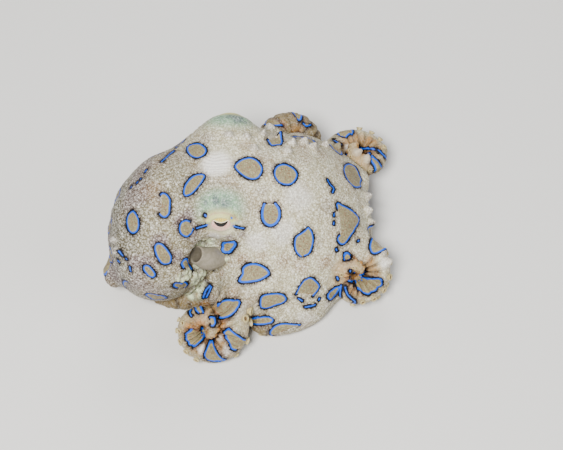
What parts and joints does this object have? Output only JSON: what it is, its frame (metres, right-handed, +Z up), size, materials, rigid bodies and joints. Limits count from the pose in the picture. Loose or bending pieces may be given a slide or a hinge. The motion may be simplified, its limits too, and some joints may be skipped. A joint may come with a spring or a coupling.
{
  "type": "blue-ringed octopus",
  "caption": "Life-size still model of a blue-ringed octopus, hunched into a ball with its suckered arms rolled up round the web.",
  "frame": {"origin": "middle of the animal's footprint, on the floor that it rests on", "axes": "+X towards the arms, away from the mantle sac; +Y to the animal's left; +Z up"},
  "size_m": [0.0502, 0.048, 0.0256],
  "materials": {
    "mantle_skin": "moist, finely granular skin with blue rings",
    "head_skin": "moist, finely granular pale skin with blue rings",
    "web_skin": "moist, finely granular pale skin with blue rings",
    "arm_skin": "moist, pleated orange-brown skin with blue rings and pale suckers",
    "funnel_skin": "smooth, moist, grey",
    "eye": "wet, glossy, pale yellow iris with a dark slit pupil"
  },
  "bodies": {
    "root": {"mantle": "mantle_skin", "head": "head_skin", "eye_right": "eye", "eye_left": "eye", "web": "web_skin", "funnel": "funnel_skin", "arm_r1_upper": "arm_skin", "arm_r1_middle": "arm_skin", "arm_r1_tip": "arm_skin", "arm_r2_upper": "arm_skin", "arm_r2_middle": "arm_skin", "arm_r2_tip": "arm_skin", "arm_r3_upper": "arm_skin", "arm_r3_middle": "arm_skin", "arm_r3_tip": "arm_skin", "arm_r4_upper": "arm_skin", "arm_r4_middle": "arm_skin", "arm_r4_tip": "arm_skin", "arm_l1_upper": "arm_skin", "arm_l1_middle": "arm_skin", "arm_l1_tip": "arm_skin", "arm_l2_upper": "arm_skin", "arm_l2_middle": "arm_skin", "arm_l2_tip": "arm_skin", "arm_l3_upper": "arm_skin", "arm_l3_middle": "arm_skin", "arm_l3_tip": "arm_skin", "arm_l4_upper": "arm_skin", "arm_l4_middle": "arm_skin", "arm_l4_tip": "arm_skin"}
  },
  "joints": []
}
